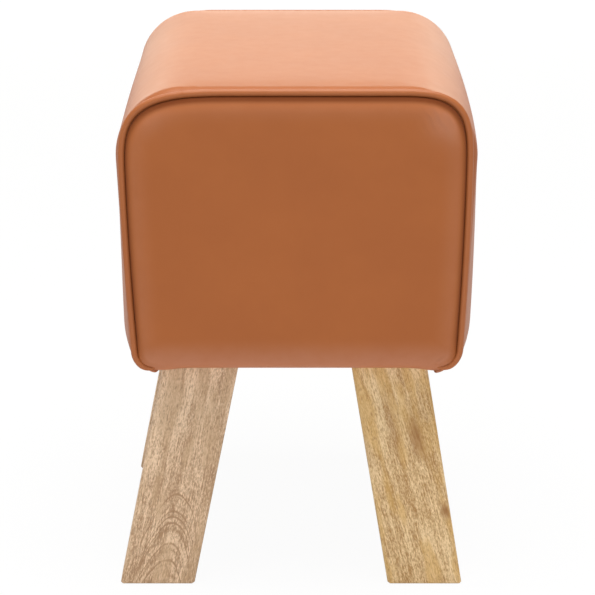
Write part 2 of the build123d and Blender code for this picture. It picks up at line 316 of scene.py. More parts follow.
def half_section(sizes, counts, flap_x):
    """The left half of a section, from the underside at -flap_x up the side to the middle of the top.

    It follows the lower corner's arc, the leaning side, the upper corner's rounded ellipse and the
    top. Side and top are bowed outwards along their normals by a parabola that is highest
    half-way. A row is a point of the outline and a column is a section.
    """
    half_bottom, half_top, bottom, top, bulge, rise, radius_low, side_run, top_run, squareness = sizes
    low = -half_bottom + 1j * bottom
    high = -half_top + 1j * top
    lean = np.angle(high - low) - math.pi / 2
    heading = np.exp(1j * (math.pi / 2 + lean))
    turn_low = math.pi / 2 - lean
    low_start = low + radius_low * np.tan(turn_low / 2)
    low_end = low + radius_low * np.tan(turn_low / 2) * heading
    high_start = high - side_run * heading
    high_end = high + top_run
    along = [np.linspace(0, 1, count, endpoint=False)[:, None] for count in counts]
    angle_low = -math.pi / 2 - turn_low * along[1]
    swiftness = squareness / 2
    started, left = along[3] ** swiftness, (1 - along[3]) ** swiftness
    angle_high = math.pi / 2 * started / (started + left)
    from_corner = 1 - np.sin(angle_high) ** (2 / squareness), 1 - np.cos(angle_high) ** (2 / squareness)
    points = np.vstack([
        (-flap_x + 1j * bottom) * (1 - along[0]) + low_start * along[0],
        low_start + 1j * radius_low + radius_low * np.exp(1j * angle_low),
        low_end + (high_start - low_end) * along[2],
        high + (high_start - high) * from_corner[0] + (high_end - high) * from_corner[1],
        high_end + (1j * top - high_end) * along[4],
        1j * top[None, :],
    ])
    normals = 1j * np.gradient(points, axis=0)
    normals /= np.abs(normals)
    height = (points.imag - bottom) / (top - bottom)
    across = points.real / high.real
    bow = 4 * bulge * height * (1 - height) * np.abs(normals.real)
    bow += rise * (1 - across**2) * np.clip(normals.imag, 0, None)
    return points + bow * normals


def whole_section(left_sizes, right_sizes, counts, flap_x):
    """The section from the left flap over the top to the right flap."""
    left = half_section(left_sizes, counts, flap_x)
    right = half_section(right_sizes, counts, flap_x)
    return np.vstack([left, -right[-2::-1].conj()])


def in_space(section, y):
    """A section's points in space, at y."""
    return np.stack([section.real, np.broadcast_to(y, section.shape), section.imag], axis=-1)


def spread(path, count):
    """Evenly spaced points along a path, both its ends among them."""
    length = np.concatenate([[0], np.cumsum(np.abs(np.diff(path)))])
    at = np.linspace(0, length[-1], count)
    return np.interp(at, length, path.real) + 1j * np.interp(at, length, path.imag)


# Leather


def cover_points():
    """The seat leather's outer surface: sections along Y, rolled into both seams.

    Rows follow the outline. Columns follow Y, turn into the seam at each end and go on straight
    inwards as the seam allowance.
    """
    y, sizes = rolled_stations(0, cover_turns)
    inset = seam_roll + roll_clearance + seam_allowance * allowance_shares
    end_y = np.full(inset.size, seam_half_length - flange_face)
    y = np.concatenate([-end_y, y, end_y])
    notch = np.clip((np.abs(y) - notch_start) / notch_length, 0, 1)
    flap_x = cover_flap_x + (cover_flap_end_x - cover_flap_x) * notch
    both = []
    for side in (-1, 1):
        ends = [seam_sizes(inset, side, end) for end in (-1, 1)]
        both.append(np.hstack([ends[0][:, ::-1], sizes(side), ends[1]]))
    return in_space(whole_section(*both, cover_counts, flap_x), y)


def seam_outline(inset, end):
    """A seam's outline drawn in by inset, from the end of its left tail over the top to the other."""
    sizes = [seam_sizes(np.array([inset]), side, end) for side in (-1, 1)]
    outline = whole_section(*sizes, seam_counts, 0)[1:-1, 0]
    low = outline.imag < block_bottom + tail_height
    past = np.clip((tail_rise_start - np.abs(outline.real)) / (tail_rise_start - tail_half_width), 0, 1)
    outline = outline + 1j * tail_rise * past**2 * low
    return outline[~(low & (np.abs(outline.real) < tail_half_width))]


def distance_to(path, points):
    """How far each point is from a path of short straight pieces."""
    nearest = np.full(points.size, far)
    start, step = path[:-1], np.diff(path)
    for part in np.array_split(np.arange(step.size), path_parts):
        offset = points[:, None] - start[None, part]
        share = np.clip((offset * step[part].conj()).real / np.abs(step[part]) ** 2, 0, 1)
        nearest = np.minimum(nearest, np.abs(offset - share * step[part]).min(axis=1))
    return nearest


def end_panel_points(end):
    """The domed end panel, from the end of its flap forwards under the seat and up to the top seam.

    A row has one height and reaches across between the seams. The surface stands out from the
    seam by a quarter of a rounded ellipse that runs in from the sides and the top. Away from the
    sides its lower edge is rolled back under the seat by a quarter of an ellipse. The second
    result is each point's distance from the seam.
    """
    sizes = [seam_sizes(np.array([panel_inset]), side, end) for side in (-1, 1)]
    for half in sizes:
        half[2] = block_bottom
    outline = whole_section(*sizes, panel_counts, under_outline_end)[1:-1, 0]
    left, right = outline[outline.real < 0], outline[outline.real > 0][::-1]
    bottom, top = left.imag.min(), left.imag.max()
    quarter = 1 - np.cos(np.linspace(0, math.pi / 2, roll_points))
    low_part = bottom + under_roll * quarter
    high_part = top - dome_roll * quarter[::-1]
    rows = np.linspace(low_part[-1], high_part[0], panel_rows)[1:-1]
    z = np.concatenate([low_part, rows, high_part])
    near = 1 - dome_roll / seam_half_bottom[1] * quarter
    columns = np.linspace(-near[-1], near[-1], panel_columns)[1:-1]
    across = np.concatenate([-near, columns, near[::-1]])
    rising = [left[left.imag.argsort(kind="stable")], right[right.imag.argsort(kind="stable")]]
    widths = [np.abs(np.interp(z, half.imag, half.real)) for half in rising]
    x = np.where(across < 0, widths[0][:, None] * across, widths[1][:, None] * across)
    height = np.broadcast_to(z[:, None], x.shape)
    to_seam = distance_to(outline, (x + 1j * height).ravel()).reshape(x.shape)
    to_seam[:, [0, -1]] = 0
    to_seam[-1] = 0
    inwards = np.clip(to_seam / dome_roll, 0, 1)
    side_rise = (1 - (1 - inwards) ** dome_power) ** (1 / dome_power)
    under = 1 - np.clip((height - bottom) / under_roll, 0, 1)
    depth = flange_face + (dome_depth - flange_face) * side_rise
    depth -= under_setback * (1 - np.sqrt(1 - under**2)) * side_rise
    from_tail = (np.abs(x) - tail_half_width) / tail_sag_reach
    sag = tail_sag * np.exp(-(from_tail**2)) * under**2
    face = np.stack([x, end * (seam_half_length + depth), height - sag], axis=-1)
    flap_share = np.linspace(0, 1, panel_flap_rows, endpoint=False)[:, None]
    flap_length = seam_half_length + depth[0] - panel_flap_end
    flap_y = end * (panel_flap_end + flap_length * flap_share)
    flare = flap_share**panel_flap_power
    flap_x = across * panel_flap_half_width * (1 - flare) + x[0] * flare
    flap = np.stack([flap_x, flap_y, bottom - sag[0] * flap_share**2], axis=-1)
    from_seam = np.concatenate([np.full(flap_x.shape, far), to_seam])
    return np.concatenate([flap, face]), from_seam


def eased(value, low, high):
    """0 below low, 1 above high and smooth in between."""
    share = np.clip((value - low) / (high - low), 0, 1)
    return share * share * (3 - 2 * share)


def painted_seam_shade(points, from_seam):
    """How much painted shade an end panel gets, by its distance from the seam.

    The painted shade of the valley is broad along the top, narrow down the sides and gone at the lower
    corners.
    """
    height = points[..., 2] - block_bottom
    broad = 1 - eased(from_seam, *top_painted_valley)
    narrow = np.clip(1 - from_seam / side_painted_valley, 0, 1) ** side_painted_valley_power
    valley = narrow + (broad - narrow) * eased(height, *painted_valley_widens)
    return valley * eased(height, *painted_valley_starts)


def painted_light_on_rims(points, from_seam):
    """How much paler an end panel is painted: painted light along its rims and painted reflections over
    its upper corners.
    """
    height = points[..., 2] - block_bottom
    # painted light along the rims: from below along the bottom, and a painted highlight beside the seam
    painted_light_along_seam = seam_painted_rim_strength * (1 - eased(from_seam, *seam_painted_rim))
    paler = np.maximum(1 - eased(height, *low_painted_rim), painted_light_along_seam)
    # painted reflections over the upper corners
    for x, z, corner_reach, strength in painted_corner_reflections:
        away = np.hypot(points[..., 0] - x, points[..., 2] - z)
        paler = paler + strength * np.exp(-((away / corner_reach) ** 2))
    shown = np.maximum(eased(from_seam, *rim_clears_seam), 1 - eased(height, 0, rim_at_bottom))
    return np.clip(paler, 0, strongest_painted_light) * shown


def along_seam(end, out, over):
    """A profile carried along a seam; out is measured outwards from it and over along Y.

    Towards the end of each tail it tapers.
    """
    outline = seam_outline(-piping_stand, end)
    along = np.gradient(outline)
    outwards = 1j * along / np.abs(along)
    gone = np.concatenate([[0], np.cumsum(np.abs(np.diff(outline)))])
    to_tail = np.minimum(gone, gone[-1] - gone)
    full = tail_share + (1 - tail_share) * np.sqrt(np.clip(to_tail / tail_taper, 0, 1))
    place = outline[:, None] + (outwards * full)[:, None] * out[None, :]
    return in_space(place, end * seam_half_length + full[:, None] * over[None, :])


def strip_points(end):
    """The piping's leather: a circle whose two edges are turned in and lie side by side in the seam.

    The second result is painted shade, from 0 on the outside of the circle to 1 where it enters the seam.
    """
    around = np.linspace(-strip_turn, strip_turn, strip_columns)
    circle = piping_radius * np.cos(around)
    out = np.concatenate([-strip_allowance, circle, -strip_allowance[::-1]])
    over = np.concatenate([[-flange_face] * 2, piping_radius * np.sin(around), [flange_face] * 2])
    painted_entry_shade = np.clip((np.abs(around) - painted_shade_start) / painted_shade_turn, 0, 1)
    points = along_seam(end, out, over)
    return points, np.broadcast_to(np.concatenate([[1, 1], painted_entry_shade, [1, 1]]), points.shape[:2])


def held_cover(points):
    """How firmly the seat leather is held: in both seams and under the seat, and not beyond them."""
    at_seam = eased(np.abs(points[..., 1]), *held_y)
    below = 1 - eased(points[..., 2] - block_bottom, *held_low)
    return np.maximum(at_seam, below)


def held_panel(points, from_seam):
    """The same for an end panel."""
    below = 1 - eased(points[..., 2] - block_bottom, *held_low)
    return np.maximum(1 - eased(from_seam, *held_rim), below)


def settled(points, held, pressure):
    """A grid of leather swollen by its padding, in a cloth simulation that holds it at its seams.

    It runs on every other point, and the points between them follow. A point moves along its
    normal only, outwards and by less than swell_cap.
    """
    coarse = points[::2, ::2]
    rows, columns = coarse.shape[:2]
    flat = coarse.reshape(-1, 3)
    mesh = bpy.data.meshes.new("settling")
    mesh.from_pydata(flat.tolist(), [], outward(flat, grid_faces(rows, columns)))
    sheet = bpy.data.objects.new("settling", mesh)
    bpy.context.scene.collection.objects.link(sheet)
    group = sheet.vertex_groups.new(name="held")
    for index, weight in enumerate(held[::2, ::2].ravel().tolist()):
        group.add([index], weight, "REPLACE")
    settings = sheet.modifiers.new("cloth", "CLOTH").settings
    settings.vertex_group_mass = "held"
    settings.use_pressure = True
    settings.uniform_pressure_force = pressure
    settings.mass = settling_mass
    settings.tension_stiffness = stretch_stiffness
    settings.compression_stiffness = stretch_stiffness
    settings.shear_stiffness = shear_stiffness
    settings.bending_stiffness = bending_stiffness
    settings.effector_weights.gravity = 0
    for frame_number in range(1, settling_frames + 1):
        bpy.context.scene.frame_set(frame_number)
    settled_mesh = sheet.evaluated_get(bpy.context.evaluated_depsgraph_get()).data
    moved, normals = np.empty(flat.size), np.empty(flat.size)
    settled_mesh.vertices.foreach_get("co", moved)
    mesh.vertices.foreach_get("normal", normals)
    bpy.data.objects.remove(sheet)
    bpy.context.scene.frame_set(1)
    normals = normals.reshape(-1, 3)
    swell = np.einsum("ij,ij->i", moved.reshape(-1, 3) - flat, normals)
    swell = swell_cap * np.tanh(np.clip(swell, 0, None) / swell_cap)
    shift = (swell[:, None] * normals).reshape(rows, columns, 3)
    finer = np.empty(points.shape)
    row_at = np.arange(points.shape[0]) / 2
    column_at = np.arange(points.shape[1]) / 2
    for axis in range(3):
        half = np.array([np.interp(row_at, np.arange(rows), column) for column in shift[..., axis].T]).T
        finer[..., axis] = [np.interp(column_at, np.arange(columns), row) for row in half]
    return points + finer


# Padding and cords


def station_loops(inset):
    """Sections of the padding's outer surface, drawn in by inset, as one path for each place."""
    y, sizes = rolled_stations(inset, pad_turns)
    section = whole_section(sizes(-1), sizes(1), pad_counts, pad_underside_x)
    return y, section.T


def top_pad_loops(inset):
    """The pad on the box: above its lid a section's own path, and closed by a line along the lid."""
    y, sections = station_loops(inset)
    loops = []
    for path in sections:
        over = path[path.imag > frame_top]
        floor_line = np.array([over[-1].real, over[0].real]) + 1j * frame_top
        loops.append(np.concatenate([spread(over, over_points), spread(floor_line, inner_points)]))
    return in_space(np.array(loops), y[:, None])


def side_pad_loops(inset, side):
    """The pad beside the box: its outer face is a section's own path, and its inner face is flat."""
    y, sections = station_loops(inset)
    loops = []
    for path in sections:
        beside = path[(side * path.real > frame_half_width) & (path.imag < frame_top)]
        beside = beside if side < 0 else beside[::-1]
        inner = side * frame_half_width + 1j * np.array([frame_top, pad_bottom])
        loops.append(np.concatenate([spread(beside, beside_points), spread(inner, inner_points)]))
    return in_space(np.array(loops), y[:, None])


def under_level(y):
    """Height of the end panel's underside at y, where it rolls up towards its face."""
    share = np.clip(1 - (seam_half_length + dome_depth - y) / under_setback, 0, 1)
    return block_bottom + under_roll * (1 - np.sqrt(1 - share**2))


def end_pad_loops(inset, end):
    """The pad before an end of the box: a slab, a neck through the seam and a domed face."""
    edges = [slab_edge] * 3
    slab = [frame_half_width, frame_half_width, pad_bottom, frame_top, 0, 0, *edges, ellipse]
    neck = np.array([seam_roll + seam_allowance + soft_gap])
    stations = [(y, [np.array(slab)[:, None]] * 2) for y in slab_y]
    stations += [(y, [seam_sizes(neck, side, end) for side in (-1, 1)]) for y in neck_y]
    face_start = face_y - seam_half_length
    for turn in np.linspace(0, math.pi / 2, face_turns):
        sides = np.array([panel_inset + dome_roll - (dome_roll - inset) * math.cos(turn)])
        depth = face_start + (dome_depth - face_start - inset) * math.sin(turn)
        stations.append((seam_half_length + depth, [seam_sizes(sides, side, end) for side in (-1, 1)]))
    loops = []
    for y, sizes in stations:
        sizes = [half.copy() for half in sizes]
        for half in sizes:
            half[2] = max(pad_bottom, under_level(y + inset / 2) + inset)
        loops.append(whole_section(*sizes, end_pad_counts, 0)[:-1, 0])
    return in_space(np.array(loops), end * np.array([[y] for y, _ in stations]))


def cord_points(end):
    """The cotton cord in the piping: a circle carried along the seam."""
    around = np.linspace(0, 2 * math.pi, cord_columns, endpoint=False)
    return along_seam(end, cord_radius * np.cos(around), cord_radius * np.sin(around))


# Materials


class Field:
    """A value that varies over a surface; sums and products of fields add Math nodes."""

    def __init__(self, finish, socket):
        self.finish = finish
        self.socket = socket

    def maths(self, operation, *values):
        return self.finish.node("ShaderNodeMath", {"operation": operation}, dict(enumerate(values)))

    def __add__(self, other):
        return self.maths("ADD", self, other)

    def __radd__(self, other):
        return self.maths("ADD", other, self)

    def __sub__(self, other):
        return self.maths("SUBTRACT", self, other)

    def __rsub__(self, other):
        return self.maths("SUBTRACT", other, self)

    def __mul__(self, other):
        return self.maths("MULTIPLY", self, other)

    def __rmul__(self, other):
        return self.maths("MULTIPLY", other, self)

    def __pow__(self, other):
        return self.maths("POWER", self, other)

    def wave(self, length):
        """A sine of the value, from 0 to 1, that repeats over this length."""
        return self.maths("SINE", self * (2 * math.pi / length)) * 0.5 + 0.5

    def steps(self, low, high):
        """0 below low, 1 above high and smooth in between."""
        settings = {"interpolation_type": "SMOOTHSTEP"}
        return self.finish.node("ShaderNodeMapRange", settings, {0: self, 1: low, 2: high})

    def near(self, centre, reach):
        """1 at the centre, going smoothly down to 0 at this distance from it."""
        return 1 - self.maths("ABSOLUTE", self - centre).steps(0.0, reach)


class Finish:
    """A material with one Principled shader."""

    def __init__(self, name):
        self.result = bpy.data.materials.new(name)
        self.result.use_nodes = True
        self.tree = self.result.node_tree
        self.tree.nodes.clear()
        output = self.tree.nodes.new("ShaderNodeOutputMaterial")
        self.shader = self.tree.nodes.new("ShaderNodeBsdfPrincipled")
        self.tree.links.new(self.shader.outputs[0], output.inputs[0])

    def node(self, kind, settings, inputs, output=0):
        """A node of this kind with its settings made first, then its inputs set or linked."""
        made = self.tree.nodes.new(kind)
        for name, value in settings.items():
            setattr(made, name, value)
        for name, value in inputs.items():
            self.feed(made.inputs[name], value)
        return Field(self, made.outputs[output])

    def feed(self, socket, value):
        if isinstance(value, Field):
            self.tree.links.new(value.socket, socket)
        elif isinstance(value, tuple) and len(value) == 3 and socket.type == "RGBA":
            socket.default_value = (*value, 1)
        else:
            socket.default_value = value

    def set(self, **values):
        """Sets or links the shader's own sockets; an underscore stands for a space."""
        for name, value in values.items():
            self.feed(self.shader.inputs[name.replace("_", " ")], value)

    def place(self, centre=(0, 0, 0), turn=(0, 0, 0), scale=(1, 1, 1)):
        """Object coordinates from a centre and in turned axes, then scaled."""
        at = self.node("ShaderNodeTexCoord", {}, {}, "Object")
        at = self.node("ShaderNodeMapping", {"vector_type": "TEXTURE"}, {0: at, 1: centre, 2: turn})
        return self.node("ShaderNodeVectorMath", {"operation": "MULTIPLY"}, {0: at, 1: scale})

    def noise(self, at, scale, detail=3, roughness=0.5):
        inputs = {"Vector": at, "Scale": scale, "Detail": detail, "Roughness": roughness}
        return self.node("ShaderNodeTexNoise", {}, inputs)

    def figure(self, placed, scale, detail, roughness):
        """Noise that is drawn out along turned axes, placed by their centre and turn."""
        return self.noise(self.place(*placed, scale), 1, detail, roughness)

    def waver(self, value, scale, detail):
        """Noise along one axis: bands of uneven breadth where the value grows steadily."""
        inputs = {"W": value, "Scale": scale, "Detail": detail}
        return self.node("ShaderNodeTexNoise", {"noise_dimensions": "1D"}, inputs)

    def attribute(self, name):
        return self.node("ShaderNodeAttribute", {"attribute_name": name}, {}, "Fac")

    def cells(self, at, scale):
        return self.node("ShaderNodeTexVoronoi", {}, {"Vector": at, "Scale": scale}, "Distance")

    def mixed(self, factor, first, second):
        """One colour turned into another by a factor."""
        settings = {"data_type": "RGBA"}
        return self.node("ShaderNodeMix", settings, {0: factor, 6: first, 7: second}, 2)

    def axes(self, vector):
        split = self.tree.nodes.new("ShaderNodeSeparateXYZ")
        self.tree.links.new(vector.socket, split.inputs[0])
        return [Field(self, socket) for socket in split.outputs]

    def bump(self, height, strength, distance, below=None):
        inputs = {"Height": height, "Strength": strength, "Distance": distance}
        if below is not None:
            inputs["Normal"] = below
        return self.node("ShaderNodeBump", {}, inputs)


tan_deep = (0.372, 0.0945, 0.009)
tan_light = (0.39, 0.1015, 0.0105)
tan_grain = (0.35, 0.088, 0.008)
# pale tan: the stretched piping's own tone, and painted light on the end panels' rims and corners
pale_tan_stretch_and_painted_light = (0.45, 0.156, 0.064)
# the brown of the painted shade beside the seam
painted_seam_shade_brown = (0.15, 0.03, 0.002)
tan_roughness = 0.43
seam_roughness = 0.49            # how much rougher it is in the seam
crease_shake = 1.3               # how far noise shifts a crease, as a share of its length
crease_power = 1.6               # above 1, a crease's crest is narrower than its trough


def leather(name, creases):
    """Smooth tan hide: a very fine grain, soft mottling and soft creases.

    A crease field is a wave along a turned axis, shaken by noise, that dies out with the distance
    from its centre. Each is given as its centre, its reach, the axis's turn and the wave's length
    and height.
    """
    finish = Finish(name)
    at = finish.place()
    mottle = finish.noise(at, 14, 3, 0.55)
    fine = finish.noise(at, 75, 4, 0.6)
    base = finish.mixed(mottle.steps(0.3, 0.7), tan_deep, tan_light)
    base = finish.mixed(fine.steps(0.35, 0.75) * 0.2, base, tan_grain)
    # how unevenly the painted light of the end panels and the piping's paler tone come through
    blotch = 0.6 + 0.8 * finish.noise(at, 60, 3, 0.6)
    base = finish.mixed(finish.attribute("stretch_and_painted_light") * blotch, base, pale_tan_stretch_and_painted_light)
    # painted shade beside the seam, on the end panels and where the piping enters it
    seam = finish.attribute("seam")
    base = finish.mixed(seam * 0.9, base, painted_seam_shade_brown)
    folds = []
    for centre, reach, turn, length, height in creases:
        local = finish.place(centre, turn)
        across, deep, along = finish.axes(local)
        fade = across.near(0.0, reach[0]) * deep.near(0.0, reach[1]) * along.near(0.0, reach[2])
        shaken = across + (finish.noise(local, 45, 2) - 0.5) * (crease_shake * length)
        folds.append(shaken.wave(length) ** crease_power * fade * height)
    grain = finish.cells(at, 1150) * 0.6 + finish.noise(at, 420, 2) * 0.4
    folded = finish.bump(sum(folds), 1.0, 1.0)
    finish.set(
        Base_Color=base,
        Roughness=tan_roughness + 0.08 * fine + seam_roughness * seam,
        Normal=finish.bump(grain, 0.06, 0.0002, folded),
        IOR=1.46,
    )
    return finish.result


ring_curve = 85                  # how fast a ring's level changes with its squared distance
ring_slant = 1.5                 # how fast it changes through the leg's thickness
ring_scale = 210
ring_fade = (-12 * MM, 20 * MM)  # where the fine rings fade, about the given height
line_warp = 10 * MM              # how far noise bends the line along the grain
level_warp = 12 * MM             # how far it shifts a ring's height
mark_warp = (20 * MM, 30 * MM)   # how far it bends a mark's edges, across and along


def wood(name, centre, lean, grain, tones, arches=(), marks=()):
    """Oiled mango wood with its grain along the leg.

    Growth rings are level lines of the height plus a share of the squared distance from a line
    along the grain, so they close to nested arches on the face. Grain gives that line's place, the
    height above which the fine rings fade, their strength and a shift. Each arch is a clear ring
    with its height, its breadth and its strength. Marks are darker places, each with its centre
    across and along, its reach in both directions and its strength. Tones are the light and the
    dark wood, an amber between them, and the pores.
    """
    finish = Finish(name)
    placed = (centre, (0, lean, 0))
    middle_line, arch_top, ring_strength, shift = grain
    across, deep, along = finish.axes(finish.place(*placed))
    warp = finish.figure(placed, (26, 26, 11), 3, 0.55) - 0.5
    x = across - middle_line + warp * line_warp
    level = along + x * x * ring_curve + deep * ring_slant + warp * level_warp
    rings = finish.waver(level + shift, ring_scale, 2)
    fading = along.steps(arch_top + ring_fade[0], arch_top + ring_fade[1])
    shown = (1 - fading) * ring_strength
    fibre = finish.figure(placed, (800, 800, 40), 4, 0.7)
    streak = finish.figure(placed, (150, 150, 8), 3, 0.6)
    patch = finish.figure(placed, (24, 24, 12), 3, 0.55)
    glow = finish.figure(placed, (70, 70, 14), 2, 0.5)
    speckle = finish.figure(placed, (900, 900, 330), 3, 0.75)
    pores = finish.figure(placed, (1000, 1000, 210), 1, 0.5)
    light, dark, amber, pore = tones
    shade = patch.steps(0.38, 0.62) * 0.26 + streak.steps(0.42, 0.6) * 0.34
    shade = shade + rings.steps(0.45, 0.7) * shown * 0.22
    for height, breadth, strength in arches:
        shade = shade + level.near(height, breadth) * strength
    shade = shade + speckle.steps(0.3, 0.7) * 0.9 + fibre.steps(0.38, 0.62) * 0.55 - 0.55
    base = finish.mixed(shade, light, dark)
    base = finish.mixed(glow.steps(0.46, 0.62) * 0.55, base, amber)
    for place_x, place_z, reach_x, reach_z, strength in marks:
        beside = (across + warp * mark_warp[0]).near(place_x, reach_x)
        beside = beside * (along + warp * mark_warp[1]).near(place_z, reach_z)
        streaked = 0.7 + streak.steps(0.42, 0.58) * 0.3
        base = finish.mixed(beside * streaked * strength, base, pore)
    base = finish.mixed(pores.steps(0.6, 0.68) * 0.4, base, pore)
    relief = fibre * 0.5 - pores.steps(0.6, 0.72)
    finish.set(
        Base_Color=base,
        Roughness=0.55 + 0.15 * streak,
        Normal=finish.bump(relief, 0.25, 0.0003),
    )
    return finish.result


def plain_timber(name, light, dark, turn):
    """Sawn inner timber with soft streaks along its grain, which runs along its turned Z."""
    finish = Finish(name)
    placed = ((0, 0, 0), turn)
    streak = finish.figure(placed, (160, 160, 6), 4, 0.6)
    fibre = finish.figure(placed, (900, 900, 30), 3, 0.6)
    base = finish.mixed(streak.steps(0.35, 0.7), light, dark)
    finish.set(
        Base_Color=finish.mixed(fibre.steps(0.45, 0.75) * 0.4, base, dark),
        Roughness=0.7 + 0.1 * fibre,
        Normal=finish.bump(fibre, 0.2, 0.0003),
    )
    return finish.result


mark_grey = (0.35, 0.35, 0.36)


def metal(name, colour, roughness):
    """Plated steel with faint marks."""
    finish = Finish(name)
    marks = finish.noise(finish.place(), 500, 3, 0.6)
    finish.set(Base_Color=finish.mixed(marks * 0.3, colour, mark_grey))
    finish.set(Metallic=1.0, Roughness=roughness + 0.15 * marks)
    return finish.result


def cloth(name, colour, thread):
    """Cloth with crossing threads at a real spacing."""
    finish = Finish(name)
    across, along, up = finish.axes(finish.place())
    weave = across.wave(thread) * (along + up).wave(thread)
    base = finish.mixed(weave * 0.4, colour, tuple(0.5 * part for part in colour))
    finish.set(Base_Color=base, Roughness=0.85, Normal=finish.bump(weave, 0.3, 0.0002))
    return finish.result


def sponge(name, colour):
    """Open-celled foam."""
    finish = Finish(name)
    at = finish.place()
    base = finish.mixed(finish.noise(at, 30) * 0.5, colour, tuple(0.8 * part for part in colour))
    finish.set(Base_Color=base, Roughness=0.9, Normal=finish.bump(finish.cells(at, 500), 0.4, 0.0006))
    return finish.result


# The upholstery

# Creases, each with its centre, its reach, its turn, the wave's length and its height
corner_creases = (
    (116 * MM, -203 * MM, 428 * MM),
    (26 * MM, 30 * MM, 20 * MM),
    (0, math.radians(-35), 0),
    7 * MM,
    0.4 * MM,
)
seam_pucker = (
    (-96 * MM, -193 * MM, 450 * MM),
    (24 * MM, 14 * MM, 12 * MM),
    (0, 0, math.radians(20)),
    13 * MM,
    0.7 * MM,
)
tail_fold = (
    (121 * MM, -197 * MM, 216 * MM),
    (7 * MM, 30 * MM, 11 * MM),
    (0, math.radians(38), 0),
    9 * MM,
    0.9 * MM,
)
hide = leather("tan leather", (corner_creases, seam_pucker, tail_fold))
cotton = cloth("cotton cord", colour=(0.62, 0.57, 0.47), thread=1.1 * MM)
foam = sponge("polyurethane foam", colour=(0.78, 0.68, 0.42))
black_cloth = cloth("black cloth", colour=(0.018, 0.018, 0.02), thread=0.8 * MM)

cover = cover_points()
cover = settled(cover, held_cover(cover), seat_pressure)
seat = as_object("seat_leather", cover, grid_faces(*cover.shape[:2]), hide, "leather", "seat_cover")
thicken(seat, leather_thickness)

for end, end_name in ((-1, "front"), (1, "rear")):
    points, from_seam = end_panel_points(end)
    # painted light on the panel's rims and corners, and painted shade beside its seam
    stretch_and_painted_light = painted_light_on_rims(points, from_seam)
    shade = painted_seam_shade(points, from_seam)
    points = settled(points, held_panel(points, from_seam), end_pressure)
    faces = grid_faces(*points.shape[:2])
    panel = as_object(
        f"{end_name}_end_leather", points, faces, hide, "leather", f"{end_name}_panel"
    )
    mark(panel, "seam", shade)
    mark(panel, "stretch_and_painted_light", stretch_and_painted_light)
    thicken(panel, leather_thickness)

    points, painted_entry_shade = strip_points(end)
    faces = grid_faces(*points.shape[:2])
    strip = as_object(
        f"{end_name}_piping_leather", points, faces, hide, "piping_leather", f"{end_name}_piping"
    )
    # painted shade where the piping enters the seam
    mark(strip, "seam", piping_painted_entry_shade * painted_entry_shade)
    mark(strip, "stretch_and_painted_light", np.full(painted_entry_shade.shape, piping_stretch))
    thicken(strip, strip_thickness)

    points = cord_points(end)
    faces = closed_faces(*points.shape[:2])
    as_object(f"{end_name}_cord", points, faces, cotton, "piping_cord", f"{end_name}_piping_cord")

pad_inset = leather_thickness + soft_gap
pads = [
    ("seat_pad", top_pad_loops(pad_inset), "seat_foam"),
    ("left_side_pad", side_pad_loops(pad_inset, -1), "left_side_foam"),
    ("right_side_pad", side_pad_loops(pad_inset, 1), "right_side_foam"),
    ("front_pad", end_pad_loops(pad_inset, -1), "front_foam"),
    ("rear_pad", end_pad_loops(pad_inset, 1), "rear_foam"),
]
for name, loops, node in pads:
    pad = as_object(name, loops, closed_faces(*loops.shape[:2]), foam, "foam", node)

# The cloth under the seat, stapled flat to the base board
cloth_half_width = 112 * MM
cloth_half_length = 165 * MM
cloth_thickness = 0.7 * MM
cloth_columns = 57
cloth_rows = 83
cloth_x = np.linspace(-1, 1, cloth_columns) * cloth_half_width
cloth_y = np.linspace(-1, 1, cloth_rows) * cloth_half_length
grid_x, grid_y = np.meshgrid(cloth_x, cloth_y)
top_z = np.full(grid_x.shape, block_bottom)
sheet_points = np.stack([grid_x, grid_y, top_z], axis=-1)
under = as_object(
    "under_cloth", sheet_points, grid_faces(*grid_x.shape), black_cloth, "dust_cloth", "dust_cover"
)
under.data.flip_normals()
thicken(under, cloth_thickness)

# Timber and steel of the CAD model

left_tones = [(0.86, 0.63, 0.42), (0.4, 0.235, 0.122), (0.56, 0.37, 0.21), (0.22, 0.12, 0.055)]
right_tones = [(0.87, 0.65, 0.365), (0.42, 0.225, 0.07), (0.66, 0.4, 0.12), (0.3, 0.125, 0.03)]
pine_light = (0.66, 0.47, 0.27)
pine_dark = (0.52, 0.33, 0.16)
pine = plain_timber("pine boards", pine_light, pine_dark, turn=(math.pi / 2, 0, 0))
pine_across = plain_timber("pine cross boards", pine_light, pine_dark, turn=(0, math.pi / 2, 0))
zinc = metal("zinc plate", colour=(0.72, 0.72, 0.7), roughness=0.3)
galvanised = metal("galvanised wire", colour=(0.66, 0.66, 0.67), roughness=0.38)

# The place from which each leg's figure is measured
left_leg_x = -103 * MM
right_leg_x = 95 * MM
leg_y = 150 * MM
leg_z = 100 * MM
right_grain_lean = math.radians(6)    # how much more the front right leg's grain leans

# Height, breadth and strength of each clear ring on the front left leg
clear_arches = [
    (-0.037, 0.0012, 0.25),
    (-0.0485, 0.0016, 0.85),
    (-0.0645, 0.0016, 0.5),
    (-0.0697, 0.0015, 0.7),
    (-0.076, 0.0018, 0.85),
    (-0.082, 0.006, 0.45),
    (-0.097, 0.0018, 0.75),
    (-0.103, 0.007, 0.3),
    (-0.1135, 0.0018, 0.75),
    (-0.124, 0.005, 0.3),
]
